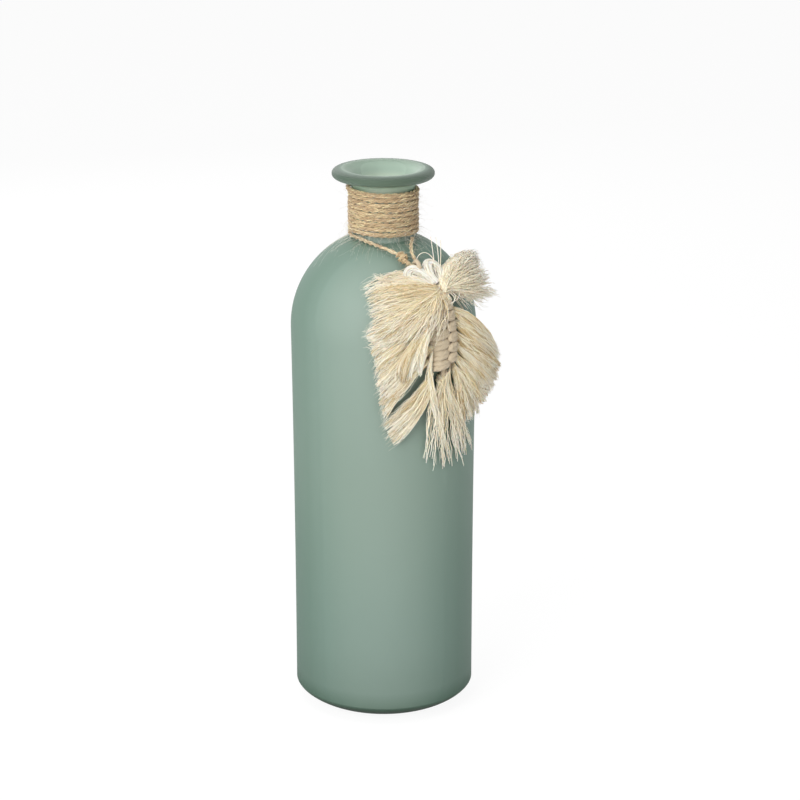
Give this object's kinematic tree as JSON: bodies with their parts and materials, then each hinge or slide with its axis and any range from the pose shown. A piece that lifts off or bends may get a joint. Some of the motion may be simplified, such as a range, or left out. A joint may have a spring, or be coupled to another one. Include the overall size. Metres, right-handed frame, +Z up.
{
  "type": "bottle vase",
  "caption": "Tall frosted glass bottle vase with a flared lip, a jute twine winding on its neck and a macrame feather charm that hangs from it.",
  "frame": {"origin": "centre of the base, on the surface the vase stands on", "axes": "+Z up along the bottle's axis, -Y towards the front, +X to the right seen from the front; the charm hangs at the front right"},
  "size_m": [0.1076, 0.1039, 0.3],
  "materials": {
    "glass_bottle": "frosted sage green glass",
    "neck_winding": "matt jute twine",
    "hanging_loop": "matt jute twine",
    "loop_knot": "matt jute twine",
    "core_cord": "matt unbleached cotton",
    "head_bundle_left": "matt unbleached cotton",
    "head_bundle_right": "matt unbleached cotton",
    "binding_thread": "matt unbleached cotton",
    "left_tie_cord_1": "matt unbleached cotton",
    "left_tie_cord_2": "matt unbleached cotton",
    "left_tie_cord_3": "matt unbleached cotton",
    "left_tie_cord_4": "matt unbleached cotton",
    "left_tie_cord_5": "matt unbleached cotton",
    "left_tie_cord_6": "matt unbleached cotton",
    "right_tie_cord_1": "matt unbleached cotton",
    "right_tie_cord_2": "matt unbleached cotton",
    "right_tie_cord_3": "matt unbleached cotton",
    "right_tie_cord_4": "matt unbleached cotton",
    "right_tie_cord_5": "matt unbleached cotton",
    "right_tie_cord_6": "matt unbleached cotton"
  },
  "bodies": {
    "vase": {"glass_bottle": "glass_bottle", "neck_winding": "neck_winding", "hanging_loop": "hanging_loop", "loop_knot": "loop_knot"},
    "charm": {"core_cord": "core_cord", "head_bundle_left": "head_bundle_left", "head_bundle_right": "head_bundle_right", "binding_thread": "binding_thread", "left_tie_cord_1": "left_tie_cord_1", "left_tie_cord_2": "left_tie_cord_2", "left_tie_cord_3": "left_tie_cord_3", "left_tie_cord_4": "left_tie_cord_4", "left_tie_cord_5": "left_tie_cord_5", "left_tie_cord_6": "left_tie_cord_6", "right_tie_cord_1": "right_tie_cord_1", "right_tie_cord_2": "right_tie_cord_2", "right_tie_cord_3": "right_tie_cord_3", "right_tie_cord_4": "right_tie_cord_4", "right_tie_cord_5": "right_tie_cord_5", "right_tie_cord_6": "right_tie_cord_6"}
  },
  "joints": [
    {"name": "charm_swing", "type": "hinge", "parent": "vase", "child": "charm", "pos_m": [0.01761, -0.03382, 0.2542], "axis": [-0.866, -0.5, 0], "range_deg": [0, 120]}
  ]
}
